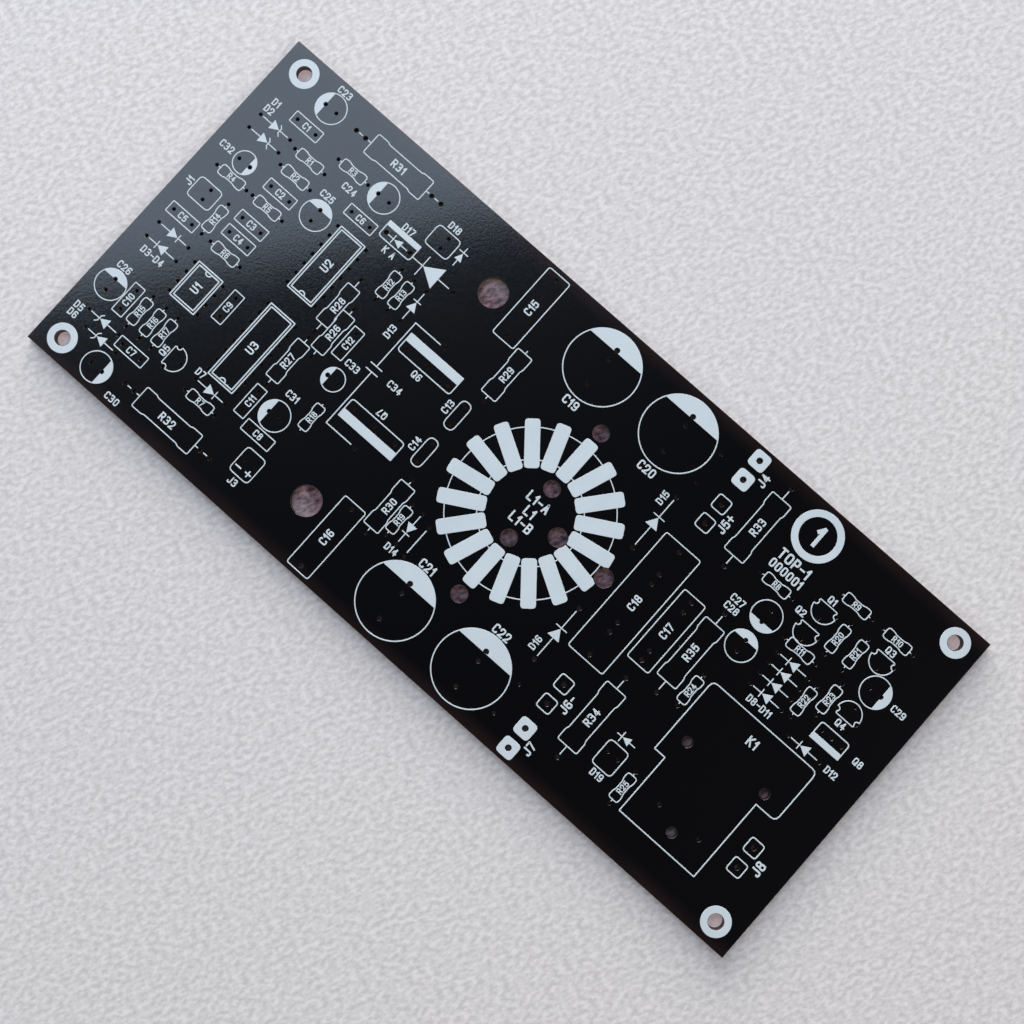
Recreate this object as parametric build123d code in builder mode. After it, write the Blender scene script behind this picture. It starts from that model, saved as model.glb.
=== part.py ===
"""Bare printed circuit board of an audio power amplifier: one drilled laminate and its printed legend.

The board lies flat with its printed side up. The origin is the middle of the underside, X runs along the
length, Y along the width and Z up. Places on the board are shares of its length and width, counted from the
middle of the board.
"""
import os

from build123d import *

# Laminate
board_length = 185.0
board_width = 81.4
board_thickness = 1.6

# Printed ink
ink_thickness = 0.05
line_width = 0.45

# Screw holes in the corners, each inside a printed ring
screw_hole_diameter = 3.2
screw_inset_x = 5.5
screw_inset_y = 4.45
screw_ring_diameter = 6.25
screw_ring_gap = 0.05

# Round holes and printed circles other than the screw and access holes are drawn with straight sides, enough
# of them to lie close to the true circle
lead_hole_sides = 6
wire_hole_sides = 12
mark_sides = 14
reservoir_sides = 28

# Lead holes
lead_hole_diameter = 0.95
power_hole_diameter = 1.2
terminal_hole_diameter = 1.35

# Lead spacings of the small parts
small_lead_pitch = 8.05
box_lead_pitch = 4.9
canister_lead_pitch = 2.85
header_pitch = 2.54
link_pitch = 7.6

# Lead spacings of the larger resistors and film capacitors
half_watt_pitch = 12.7
tall_half_watt_pitch = 14.0
two_watt_pitch = 20.6
two_watt_inner_pitch = 18.0
two_watt_outer_pitch = 23.0
film_pitch = 15.0
film_inner_pitch = 10.2
film_outer_pitch = 27.0
rectifier_pitch = 13.4

# Chips
chip_pin_pitch = 2.54
chip_row_spacing = 7.62

# Small transistors: two outer pins near the flat side and one pin under the curved side
transistor_pin_spread = 5.08
transistor_outer_pin_depth = 0.8
transistor_middle_pin_depth = 3.2

# Power transistors: three pins in a printed outline with a solid bar along its back
power_pin_pitch = 5.45
power_mark_width = 14.2
power_mark_height = 4.6
power_bar_height = 1.95
access_hole_diameter = 6.5

# Driver transistor and power diode, with the same kind of outline
driver_pin_pitch = 2.5
driver_mark_width = 7.4
driver_mark_height = 4.1
driver_bar_height = 1.37
diode_pin_pitch = 6.45
diode_mark_width = 8.5
diode_mark_height = 4.0
diode_bar_height = 1.2

# Reservoir capacitors: a printed circle with a filled cap, and three lead holes on its axis
reservoir_diameter = 16.55
reservoir_chord_height = 4.1
reservoir_lead_heights = [4.5, 2.1, -4.6]

# Small canister capacitors: the filled cap of their printed circle
canister_diameter = 7.05
canister_chord_height = 1.4
small_canister_diameter = 5.4
small_canister_chord_height = 1.0

# Output coil: a star of printed turns, and the lead holes on its two axes
coil_turns = 18
coil_inner_radius = 9.0
coil_outer_radius = 19.15
coil_turn_width = 3.15
coil_hole_diameter = 4.2
coil_hole_inner_radius = 7.3
coil_hole_outer_radius = 19.5
coil_side_hole_diameter = 3.75
coil_side_hole_inner_radius = 6.5
coil_side_hole_outer_radius = 21.4

# Wire terminals
terminal_pad_side = 3.85

# Relay: a wide shoulder across the top of a narrower body
relay_width = 27.4
relay_depth = 31.6
relay_left_shoulder = 17.9
relay_left_step = 2.7
relay_right_shoulder = 12.9
relay_right_step = 5.0
relay_contact_diameter = 2.4

# Places of the small resistors, lying along X and along Y
flat_resistor_shares = [
    (-0.400, 0.289), (-0.400, 0.235), (-0.3565, 0.341), (-0.452, 0.130), (-0.400, 0.131), (-0.400, -0.024),
    (-0.311, -0.338), (0.2865, 0.262), (0.3655, 0.354), (0.423, 0.354), (0.351, 0.180),
]
upright_resistor_shares = [
    (-0.244, 0.188), (-0.226, 0.188), (-0.4345, 0.025), (-0.427, -0.270), (-0.408, -0.270), (-0.391, -0.270),
    (-0.2095, -0.184), (-0.0643, -0.229), (0.373, 0.263), (0.398, 0.263), (0.389, 0.0935), (0.408, 0.138),
    (0.2905, -0.069), (0.304, -0.354),
]

# Places of the small box capacitors and disc capacitors
flat_box_shares = [
    (-0.4285, 0.349), (-0.400, 0.179), (-0.400, 0.073), (-0.400, 0.025), (-0.4625, -0.024), (-0.315, 0.264),
    (-0.404, -0.358), (-0.240, -0.304),
]
upright_box_shares = [
    (-0.3585, -0.118), (-0.445, -0.267), (-0.271, -0.254), (-0.234, 0.012), (-0.0925, 0.057),
    (-0.0925, -0.0645),
]

# Places of the small canister capacitors, by the side that their filled cap is on
canister_shares_by_turn = {
    0: [(-0.355, 0.197), (-0.471, -0.268), (0.300, 0.094)],
    90: [(-0.422, 0.424), (-0.312, 0.342), (-0.2405, -0.242)],
    180: [(0.300, 0.189)],
    270: [(-0.421, -0.443), (0.4405, 0.225)],
}
small_canister_shares_by_turn = {
    90: [(-0.2195, -0.0795)],
    270: [(-0.4525, 0.179)],
}

# Places of the small diodes
flat_diode_shares = [
    (-0.454, 0.297), (-0.454, 0.254), (-0.4565, -0.0725), (-0.4565, -0.118), (-0.4485, -0.348),
    (-0.438, -0.386), (-0.3105, -0.302), (0.3555, 0.142), (0.3555, 0.109), (0.3555, 0.075), (0.3555, 0.0405),
    (0.422, 0.007),
]
upright_diode_shares = [(-0.208, 0.188), (-0.0495, -0.229)]

# Places of the larger resistors, rectifiers, wire links and film capacitors
half_watt_shares = [(-0.254, 0.007), (-0.270, -0.119)]
tall_half_watt_shares = [(-0.270, 0.066), (-0.082, 0.213), (-0.082, -0.2205)]
flat_two_watt_shares = [(-0.323, 0.4255), (-0.324, -0.4255)]
upright_two_watt_shares = [(0.2305, 0.339), (0.2305, -0.277), (0.2645, 0.0)]
rectifier_shares = [(0.1435, 0.181), (0.1435, -0.181)]
link_shares = [(0.149, 0.3685), (0.149, -0.380), (-0.0345, -0.241)]
film_shares = [(-0.1105, 0.3785), (-0.1105, -0.379), (0.230, 0.0), (0.1845, 0.0)]
film_inner_shares = [(0.230, 0.0), (0.1845, 0.0)]
film_outer_shares = [(0.1845, 0.0), (-0.152, -0.004)]

# Places of the chips, with their pins in a row
chip_shares_by_row_pins = {4: (-0.3985, -0.135), 7: (-0.3085, 0.121), 8: (-0.3085, -0.1535)}

# Places of the small transistors: the middle of the flat side, and the way the curved side faces
transistor_shares = [(0.343, 0.3095), (0.343, 0.241), (0.4245, 0.3095), (0.434, 0.125), (-0.372, -0.301)]
transistor_facings = [(0, -1), (0, -1), (0, -1), (0, 1), (1, 0)]

# Places of the power parts, the headers, the terminals and the large marks
power_shares = [(-0.152, 0.098), (-0.152, -0.098)]
access_hole_shares = [(-0.153, 0.345), (-0.153, -0.345)]
driver_share = (0.437, 0.0705)
diode_share = (-0.2675, 0.2825)
diode_tap_share = (-0.186, 0.278)
upright_header_shares = [(-0.4595, 0.0565), (-0.2285, 0.357)]
flat_header_shares = [(-0.225, -0.370), (0.274, -0.312)]
filled_terminal_shares = [(0.185, 0.466), (0.185, 0.404), (0.185, -0.404), (0.185, -0.466)]
framed_terminal_shares = [
    (0.185, 0.323), (0.185, 0.262), (0.185, -0.262), (0.185, -0.324), (0.450, -0.253), (0.450, -0.3145),
]
reservoir_shares = [(-0.0097, 0.384), (0.0996, 0.384), (-0.0097, -0.3835), (0.0996, -0.3835)]
coil_share = (0.0368, -0.0037)

# Relay: its upper left corner on the board, and its pins as shares of its own width and depth
relay_corner_share = (0.3015, -0.0135)
relay_contact_shares = [(0.153, 0.396), (0.810, 0.320), (0.489, 0.883)]
relay_coil_shares = [(0.292, 0.804), (0.668, 0.804)]

along_x = (1, 0)
along_y = (0, 1)


def on_board(shares):
    """Turn shares of the board's length and width into points on the board."""
    return [(x * board_length, y * board_width) for x, y in shares]


def rows(shares, pitch, count, along):
    """Holes a pitch apart, in a row centred on each place and running along a direction."""
    steps = [pitch * (i - (count - 1) / 2) for i in range(count)]
    return [(x + along[0] * step, y + along[1] * step) for x, y in on_board(shares) for step in steps]


def chip_holes(share, row_pins):
    """Two upright rows of pins, one on each side of the chip."""
    row = rows([share], chip_pin_pitch, row_pins, along_y)
    half_spacing = chip_row_spacing / 2
    return [(x - half_spacing, y) for x, y in row] + [(x + half_spacing, y) for x, y in row]


def transistor_holes(share, facing):
    """Two outer pins beside the flat side and a middle pin further out under the curved side."""
    x, y = on_board([share])[0]
    ahead_x, ahead_y = facing
    half_spread = transistor_pin_spread / 2
    outer_x = x + ahead_x * transistor_outer_pin_depth
    outer_y = y + ahead_y * transistor_outer_pin_depth
    return [
        (outer_x - ahead_y * half_spread, outer_y + ahead_x * half_spread),
        (outer_x + ahead_y * half_spread, outer_y - ahead_x * half_spread),
        (x + ahead_x * transistor_middle_pin_depth, y + ahead_y * transistor_middle_pin_depth),
    ]


def relay_points(shares):
    """Points inside the relay, from shares of its width and depth below its upper left corner."""
    left, top = on_board([relay_corner_share])[0]
    return [(left + x * relay_width, top - y * relay_depth) for x, y in shares]


# Round holes
screw_points = [
    (side_x * (board_length / 2 - screw_inset_x), side_y * (board_width / 2 - screw_inset_y))
    for side_x in (-1, 1)
    for side_y in (-1, 1)
]
coil_x, coil_y = on_board([coil_share])[0]
coil_points = [(coil_x + coil_hole_inner_radius, coil_y), (coil_x + coil_hole_outer_radius, coil_y)]
coil_side_points = [
    (coil_x, coil_y + side * radius)
    for side in (-1, 1)
    for radius in (coil_side_hole_inner_radius, coil_side_hole_outer_radius)
]

# Lead holes, by drill
terminal_points = on_board(filled_terminal_shares + framed_terminal_shares)
reservoir_points = on_board(reservoir_shares)
power_lead_points = (
    [(x, y + height) for x, y in reservoir_points for height in reservoir_lead_heights]
    + rows(power_shares, power_pin_pitch, 3, along_x)
    + rows([diode_share], diode_pin_pitch, 2, along_x)
    + on_board([diode_tap_share])
    + rows(film_shares, film_pitch, 2, along_y)
    + rows(film_inner_shares, film_inner_pitch, 2, along_y)
    + rows(film_outer_shares, film_outer_pitch, 2, along_y)
    + rows(flat_two_watt_shares, two_watt_inner_pitch, 2, along_x)
    + rows(flat_two_watt_shares, two_watt_outer_pitch, 2, along_x)
    + rows(upright_two_watt_shares, two_watt_pitch, 2, along_y)
    + rows(rectifier_shares, rectifier_pitch, 2, along_y)
    + relay_points(relay_coil_shares)
)
lead_points = (
    rows(flat_resistor_shares, small_lead_pitch, 2, along_x)
    + rows(upright_resistor_shares, small_lead_pitch, 2, along_y)
    + rows(flat_diode_shares, small_lead_pitch, 2, along_x)
    + rows(upright_diode_shares, small_lead_pitch, 2, along_y)
    + rows(flat_box_shares, box_lead_pitch, 2, along_x)
    + rows(upright_box_shares, box_lead_pitch, 2, along_y)
    + rows(half_watt_shares, half_watt_pitch, 2, along_y)
    + rows(tall_half_watt_shares, tall_half_watt_pitch, 2, along_y)
    + rows(link_shares, link_pitch, 2, along_y)
    + rows(flat_header_shares, header_pitch, 2, along_x)
    + rows(upright_header_shares, header_pitch, 2, along_y)
    + rows([driver_share], driver_pin_pitch, 3, along_x)
)
for turn_table in (canister_shares_by_turn, small_canister_shares_by_turn):
    for turn, shares in turn_table.items():
        lead_points += rows(shares, canister_lead_pitch, 2, along_y if turn % 180 == 0 else along_x)
for row_pins, share in chip_shares_by_row_pins.items():
    lead_points += chip_holes(share, row_pins)
for share, facing in zip(transistor_shares, transistor_facings):
    lead_points += transistor_holes(share, facing)

# Drill pattern, shared by the laminate and the ink that lies over it
with BuildSketch() as drill_pattern:
    with Locations(*screw_points):
        Circle(screw_hole_diameter / 2)
    with Locations(*on_board(access_hole_shares)):
        Circle(access_hole_diameter / 2)
    with Locations(*coil_points):
        RegularPolygon(coil_hole_diameter / 2, wire_hole_sides)
    with Locations(*coil_side_points):
        RegularPolygon(coil_side_hole_diameter / 2, wire_hole_sides)
    with Locations(*relay_points(relay_contact_shares)):
        RegularPolygon(relay_contact_diameter / 2, wire_hole_sides)
    with Locations(*terminal_points):
        RegularPolygon(terminal_hole_diameter / 2, lead_hole_sides)
    with Locations(*power_lead_points):
        RegularPolygon(power_hole_diameter / 2, lead_hole_sides)
    with Locations(*lead_points):
        RegularPolygon(lead_hole_diameter / 2, lead_hole_sides)

# Laminate sheet with its holes
with BuildPart() as board:
    with BuildSketch():
        Rectangle(board_length, board_width)
        add(drill_pattern.sketch, mode=Mode.SUBTRACT)
    extrude(amount=board_thickness)
board.part.label = "board"


def filled_cap(diameter, chord_height, sides):
    """The part of a disc above a level chord: the minus side of a canister capacitor's mark."""
    with BuildSketch() as cap:
        RegularPolygon(diameter / 2, sides)
        with Locations((0, chord_height - diameter / 2)):
            Rectangle(diameter, diameter, mode=Mode.SUBTRACT)
    return cap.sketch


def package_mark(width, height, bar_height):
    """Outline of a flat-backed package round its pins, with a solid bar along the back on the +Y side."""
    with BuildSketch() as mark:
        with Locations((0, (bar_height - line_width) / 2)):
            Rectangle(width, height)
        Rectangle(width - 2 * line_width, height - bar_height - line_width, mode=Mode.SUBTRACT)
    return mark.sketch


def place_marks(mark, shares, turn=0):
    """Print a mark at each place, turned about its own middle."""
    with Locations(*[Location((x, y, 0), (0, 0, turn)) for x, y in on_board(shares)]):
        add(mark)


# Relay outline, as the edge of its body
relay_left, relay_top = on_board([relay_corner_share])[0]
relay_right = relay_left + relay_width
relay_bottom = relay_top - relay_depth
with BuildSketch() as relay_mark:
    with BuildLine():
        Polyline(
            (relay_left, relay_top),
            (relay_right, relay_top),
            (relay_right, relay_top - relay_right_shoulder),
            (relay_right - relay_right_step, relay_top - relay_right_shoulder),
            (relay_right - relay_right_step, relay_bottom),
            (relay_left + relay_left_step, relay_bottom),
            (relay_left + relay_left_step, relay_top - relay_left_shoulder),
            (relay_left, relay_top - relay_left_shoulder),
            close=True,
        )
    make_face()
    offset(amount=-line_width, kind=Kind.INTERSECTION, mode=Mode.SUBTRACT)

# Printed legend on the top face, left open over every hole
with BuildPart() as legend:
    with BuildSketch(Plane.XY.offset(board_thickness)):
        with Locations(*reservoir_points):
            RegularPolygon(reservoir_diameter / 2, reservoir_sides)
            RegularPolygon(reservoir_diameter / 2 - line_width, reservoir_sides, mode=Mode.SUBTRACT)
        with Locations(*screw_points):
            RegularPolygon(screw_ring_diameter / 2, mark_sides)
            RegularPolygon(screw_hole_diameter / 2 + screw_ring_gap, mark_sides, False, mode=Mode.SUBTRACT)
        with Locations(*on_board(framed_terminal_shares)):
            Rectangle(terminal_pad_side, terminal_pad_side)
            Rectangle(terminal_pad_side - 2 * line_width, terminal_pad_side - 2 * line_width, mode=Mode.SUBTRACT)
        place_marks(filled_cap(reservoir_diameter, reservoir_chord_height, reservoir_sides), reservoir_shares)
        canister_cap = filled_cap(canister_diameter, canister_chord_height, mark_sides)
        for turn, shares in canister_shares_by_turn.items():
            place_marks(canister_cap, shares, turn)
        small_canister_cap = filled_cap(small_canister_diameter, small_canister_chord_height, mark_sides)
        for turn, shares in small_canister_shares_by_turn.items():
            place_marks(small_canister_cap, shares, turn)
        power_mark = package_mark(power_mark_width, power_mark_height, power_bar_height)
        place_marks(power_mark, power_shares[:1])
        place_marks(power_mark, power_shares[1:], 180)
        place_marks(package_mark(driver_mark_width, driver_mark_height, driver_bar_height), [driver_share], 180)
        place_marks(package_mark(diode_mark_width, diode_mark_height, diode_bar_height), [diode_share])
        add(relay_mark.sketch)
        with Locations(*on_board(filled_terminal_shares)):
            Rectangle(terminal_pad_side, terminal_pad_side)
        with Locations((coil_x, coil_y)):
            with PolarLocations((coil_inner_radius + coil_outer_radius) / 2, coil_turns, 180 / coil_turns):
                Rectangle(coil_outer_radius - coil_inner_radius, coil_turn_width)
        add(drill_pattern.sketch, mode=Mode.SUBTRACT)
    extrude(amount=ink_thickness)
legend.part.label = "legend"

os.makedirs("parts", exist_ok=True)
export_step(board.part, "parts/board.step")
export_step(legend.part, "parts/legend.step")
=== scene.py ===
# %% [markdown]
# # A bare amplifier circuit board
# A bare circuit board is a flat thing, so everything that the eye enjoys on it is thin: a glossy lacquer, a
# print that stands a few hundredths of a millimetre proud, and hundreds of drilled holes with raw laminate in
# their walls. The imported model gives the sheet, its holes and the bold marks, and this lesson dresses them.

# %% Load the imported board
import math
from itertools import cycle

import bpy
import numpy as np
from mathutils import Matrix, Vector
from mathutils.geometry import delaunay_2d_cdt


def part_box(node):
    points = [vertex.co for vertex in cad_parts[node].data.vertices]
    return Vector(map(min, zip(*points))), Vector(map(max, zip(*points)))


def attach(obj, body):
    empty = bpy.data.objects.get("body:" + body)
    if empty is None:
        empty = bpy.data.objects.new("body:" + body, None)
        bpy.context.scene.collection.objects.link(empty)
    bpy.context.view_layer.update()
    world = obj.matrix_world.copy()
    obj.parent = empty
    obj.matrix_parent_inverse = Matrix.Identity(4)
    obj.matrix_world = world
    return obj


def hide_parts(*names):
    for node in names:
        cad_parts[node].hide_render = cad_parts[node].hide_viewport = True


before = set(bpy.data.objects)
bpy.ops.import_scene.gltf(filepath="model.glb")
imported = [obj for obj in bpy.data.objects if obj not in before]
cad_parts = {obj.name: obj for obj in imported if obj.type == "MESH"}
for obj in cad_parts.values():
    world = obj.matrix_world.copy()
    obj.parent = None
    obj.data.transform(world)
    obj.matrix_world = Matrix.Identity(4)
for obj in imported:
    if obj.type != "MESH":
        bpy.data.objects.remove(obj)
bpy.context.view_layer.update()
MILLIMETRE = 0.001

board_low, board_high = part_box("board")
board_length = (board_high.x - board_low.x) / MILLIMETRE
board_width = (board_high.y - board_low.y) / MILLIMETRE
board_top = board_high.z / MILLIMETRE
ink_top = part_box("legend")[1].z / MILLIMETRE
print(f"board {board_length:.1f} x {board_width:.1f} x {board_top:.2f} mm, ink up to {ink_top:.2f} mm")

# %% [markdown]
# ## Where the drill went
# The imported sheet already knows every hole, drawn there with few sides. Instead of typing hundreds of places
# again, we read them back: the wall triangles of one hole hang together, so passing the lowest point number
# round each triangle until nothing changes gives every hole a label. Its middle follows, and the radius of the
# largest round hole inside it.

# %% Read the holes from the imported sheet


def wall_islands(mesh):
    """Points of the upright walls, and a label that is shared by the points of one wall.

    The label of a point is the lowest number among the points that it hangs together with, found by handing
    the lowest label of each triangle to its three corners until nothing changes.
    """
    points = np.empty(len(mesh.vertices) * 3)
    mesh.vertices.foreach_get("co", points)
    corners = np.empty(len(mesh.loops), int)
    mesh.loops.foreach_get("vertex_index", corners)
    points, merged = np.unique(np.round(points.reshape(-1, 3) / MILLIMETRE, 4), axis=0, return_inverse=True)
    triangles = merged.ravel()[corners].reshape(-1, 3)
    walls = triangles[np.ptp(points[triangles][:, :, 2], axis=1) > board_top / 2]
    labels = np.arange(len(points))
    while True:
        passed = labels.copy()
        np.minimum.at(passed, walls.ravel(), np.repeat(labels[walls].min(axis=1), 3))
        if np.array_equal(passed, labels):
            break
        labels = passed
    used = np.unique(walls)
    return points[used, :2], np.unique(labels[used], return_inverse=True)[1]


def measure_circles(points, labels):
    """Middle of each labelled wall, and the radius of the largest circle inside it.

    A wall with n sides has n points at the top and n below. The middle of a side lies nearer by the cosine of
    pi/n than a corner does.
    """
    count = np.bincount(labels)
    middles = np.stack([np.bincount(labels, points[:, axis]) / count for axis in (0, 1)], axis=1)
    reach = np.zeros(len(count))
    np.maximum.at(reach, labels, np.linalg.norm(points - middles[labels], axis=1))
    return middles, reach * np.cos(math.pi / (count / 2))


hole_middles, hole_radii = measure_circles(*wall_islands(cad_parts["board"].data))
is_hole = hole_radii < board_width / 4  # the sheet's own rim is a wall too, but far wider than any hole
hole_middles, hole_radii = hole_middles[is_hole], hole_radii[is_hole]
print(f"{len(hole_radii)} holes, from {2 * hole_radii.min():.2f} to {2 * hole_radii.max():.2f} mm across")

# %% [markdown]
# ## Colours and nodes
# A few small helpers serve every finish. Colours are written as the sRGB hex values that a picture editor
# shows, and Blender shades in linear light, so one function converts them. Nodes could be linked by hand in
# the editor, but a script gives the same finish each time, so one function adds a node with its settings and
# links. A pattern's scale counts features in a metre, so one more turns real millimetres into that.

# %% Helpers for colours and nodes


def colour(code):
    """Linear red, green, blue and alpha of an sRGB hex code."""
    share = np.array([int(code[i:i + 2], 16) for i in (1, 3, 5)]) / 255
    linear = np.where(share <= 0.04045, share / 12.92, ((share + 0.055) / 1.055) ** 2.4)
    return (*linear.tolist(), 1.0)


def add(tree, kind, sockets=(), **settings):
    """Add a node: settings are its properties, sockets its input values or the outputs linked to them."""
    node = tree.nodes.new(kind)
    for name, value in settings.items():
        setattr(node, name, value)
    for name, value in dict(sockets).items():
        if isinstance(value, bpy.types.NodeSocket):
            tree.links.new(value, node.inputs[name])
        else:
            node.inputs[name].default_value = value
    return node


def start_material(name):
    """An empty node material, its tree, and the object coordinates that its patterns use."""
    material = bpy.data.materials.new(name)
    material.use_nodes = True
    tree = material.node_tree
    tree.nodes.clear()
    place = add(tree, "ShaderNodeTexCoord").outputs["Object"]
    return material, tree, place


def finish_material(material, shader):
    """Link the shader to the material's output, and give the material back."""
    add(material.node_tree, "ShaderNodeOutputMaterial", {"Surface": shader.outputs["BSDF"]})
    print(f"{material.name}: {len(material.node_tree.nodes)} nodes")
    return material


def per_metre(size_mm):
    """Scale of a pattern whose features are size_mm apart, on coordinates in metres."""
    return 1 / (size_mm * MILLIMETRE)


print(f"mid grey #808080 is {colour('#808080')[0]:.3f} in linear light")

# %% [markdown]
# ## Camera
# The camera comes first, because every later choice is judged in its picture. It hangs 20 centimetres above
# the board, a little towards the relay end, and is turned so that the board lies across the picture. It could
# be pushed about by hand until the view fits. Here its place and turn were worked out from the board's edges.

# %% Camera
sensor_width = 36.0
focal_pixels, picture_pixels = 1000.0, 1024.0
place_over_top = np.array([9.98, -10.01, 199.26])
camera_turn = np.radians([2.76, -0.107, 41.517])
camera_data = bpy.data.cameras.new("camera")
camera_data.sensor_width = sensor_width
camera_data.lens = sensor_width * focal_pixels / picture_pixels
camera_data.clip_start = 0.01
camera = bpy.data.objects.new("camera", camera_data)
camera.location = (place_over_top + (0, 0, board_top)) * MILLIMETRE
camera.rotation_euler = camera_turn
bpy.context.scene.collection.objects.link(camera)
bpy.context.scene.camera = camera
print(f"camera {camera.location.z / MILLIMETRE:.0f} mm up, lens {camera_data.lens:.1f} mm")

# %% [markdown]
# ## Finishes: solder mask
# The board is coated with a black epoxy lacquer, poured and cured, so it is smooth and glossy. A reflection
# could be painted on, but it would stay put when the view moves. So the shader has a low roughness, noise as
# fine as orange peel breaks up the rim of what it mirrors, and a thin rough coat carries a faint haze further.
# Light soaks in from the long edges, so the lacquer turns a little warmer there.

# %% Solder mask


def solder_mask():
    """Black epoxy lacquer: dark body, gloss with a faint haze, orange peel, warmer along the long edges."""
    material, tree, place = start_material("solder_mask_black_epoxy")
    axes = add(tree, "ShaderNodeSeparateXYZ", {"Vector": place})
    away = add(tree, "ShaderNodeMath", {0: axes.outputs["Y"]}, operation="ABSOLUTE")
    rim = add(tree, "ShaderNodeMapRange", {
        "Value": away.outputs[0],
        "From Min": (board_width / 2 - mask_rim_width) * MILLIMETRE,
        "From Max": board_width / 2 * MILLIMETRE,
    }, interpolation_type="SMOOTHSTEP")
    cloud = add(tree, "ShaderNodeTexNoise", {
        "Vector": place, "Scale": per_metre(mask_cloud_size), "Detail": 3.0,
    })
    warmth = add(tree, "ShaderNodeMath", {0: rim.outputs[0], 1: cloud.outputs["Fac"]}, operation="MULTIPLY")
    body = add(tree, "ShaderNodeMix", {
        "Factor": warmth.outputs[0], "A": colour("#020205"), "B": colour("#241818"),
    }, data_type="RGBA")
    peel = add(tree, "ShaderNodeTexNoise", {
        "Vector": place, "Scale": per_metre(mask_peel_size), "Detail": 4.0,
    })
    gloss = add(tree, "ShaderNodeMapRange", {
        "Value": peel.outputs["Fac"], "From Min": 0.3, "From Max": 0.7, "To Min": 0.09, "To Max": 0.15,
    })
    relief = add(tree, "ShaderNodeBump", {
        "Height": peel.outputs["Fac"], "Strength": 1.0, "Distance": mask_peel_height * MILLIMETRE,
    })
    shader = add(tree, "ShaderNodeBsdfPrincipled", {
        "Base Color": body.outputs["Result"], "Roughness": gloss.outputs[0], "Normal": relief.outputs[0],
    })
    shader.inputs["IOR"].default_value = 1.52
    shader.inputs["Coat Weight"].default_value = 0.19
    shader.inputs["Coat Roughness"].default_value = 0.36
    return finish_material(material, shader)


mask_rim_width = 3.6
mask_cloud_size = 14.0
mask_peel_size = 0.45
mask_peel_height = 0.012
mask_finish = solder_mask()

# %% [markdown]
# ## Finishes: laminate
# The sheet is pressed from layers of glass cloth in resin, and shows only where it was cut: brown along the
# sawn rim and in the drilled holes, where a darker pair of colours is painted shade, since little light gets
# down into a bore. A picture of a cut edge could be wrapped round, but it would stretch in the bores. Level
# bands as thick as one layer, broken up by noise as fine as a yarn of the cloth, fit any cut, and two pairs of
# colours give both: the laminate's own tones on the rim, and the painted shade of the bores.

# %% Laminate


def laminate(name, deep, pale):
    """Glass cloth in brown resin: thin level plies, mottled along the cut, dull where a tool tore it."""
    material, tree, place = start_material(name)
    plies = add(tree, "ShaderNodeTexWave", {
        "Vector": place, "Scale": per_metre(ply_thickness) * wave_turn, "Distortion": 1.5, "Detail": 2.0,
        "Detail Scale": 2.0,
    }, wave_type="BANDS", bands_direction="Z")
    yarns = add(tree, "ShaderNodeTexNoise", {"Vector": place, "Scale": per_metre(yarn_size), "Detail": 5.0})
    mottle = add(tree, "ShaderNodeMath", {
        0: plies.outputs["Fac"], 1: yarns.outputs["Fac"],
    }, operation="MULTIPLY")
    body = add(tree, "ShaderNodeMix", {
        "Factor": mottle.outputs[0], "A": colour(deep), "B": colour(pale),
    }, data_type="RGBA")
    relief = add(tree, "ShaderNodeBump", {
        "Height": mottle.outputs[0], "Strength": 0.6, "Distance": yarn_size * MILLIMETRE / 4,
    })
    shader = add(tree, "ShaderNodeBsdfPrincipled", {
        "Base Color": body.outputs["Result"], "Normal": relief.outputs[0],
    })
    shader.inputs["Roughness"].default_value = 0.62
    shader.inputs["IOR"].default_value = 1.5
    return finish_material(material, shader)


ply_thickness = 0.2
yarn_size = 0.09
wave_turn = 2 * math.pi / 20  # at scale 1, a band texture repeats after this length
laminate_finish = laminate("laminate_glass_epoxy", "#4A3B38", "#85746D")
# The bores' darker pair of colours is painted shade: it darkens the hole walls as their own shade would.
bore_shade_finish = laminate("laminate_bore_painted_shade", "#2E2427", "#65564F")

# %% [markdown]
# ## Finishes: legend ink
# The legend is white epoxy ink, pushed through a fine mesh. It could be an image on the lacquer, but real ink
# has a thickness and a gloss of its own, so it is modelled later as thin pieces. Its finish is matt, with a
# fine grain and faint clouds where the ink lies thinner.

# %% Legend ink


def legend_ink():
    """Bluish white epoxy ink: matt, with a fine grain and faint clouds of thinner ink."""
    material, tree, place = start_material("legend_ink_white_epoxy")
    cloud, grain = (
        add(tree, "ShaderNodeTexNoise", {"Vector": place, "Scale": per_metre(size), "Detail": 2.0})
        for size in (ink_cloud_size, ink_grain_size)
    )
    cover = add(tree, "ShaderNodeMath", {
        0: cloud.outputs["Fac"], 1: grain.outputs["Fac"],
    }, operation="MULTIPLY")
    body = add(tree, "ShaderNodeMix", {
        "Factor": cover.outputs[0], "A": colour("#C0CDD8"), "B": colour("#DAE6EE"),
    }, data_type="RGBA")
    relief = add(tree, "ShaderNodeBump", {
        "Height": grain.outputs["Fac"], "Strength": 0.5, "Distance": ink_grain_size * MILLIMETRE / 20,
    })
    shader = add(tree, "ShaderNodeBsdfPrincipled", {
        "Base Color": body.outputs["Result"], "Normal": relief.outputs[0],
    })
    shader.inputs["Roughness"].default_value = 0.55
    shader.inputs["IOR"].default_value = 1.5
    return finish_material(material, shader)


ink_cloud_size = 6.0
ink_grain_size = 0.16  # the printer's mesh is finer, and is drawn as coarse as it needs to show
ink_finish = legend_ink()

# %% [markdown]
# ## Finishes: tinned pads
# The pads underneath are copper dipped in solder. One even roughness would look like silver paint. Molten
# metal pulls itself smooth and freezes with soft hollows, so one slow noise moves the roughness, the tone and
# a slight relief together.

# %% Tinned pads


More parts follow.
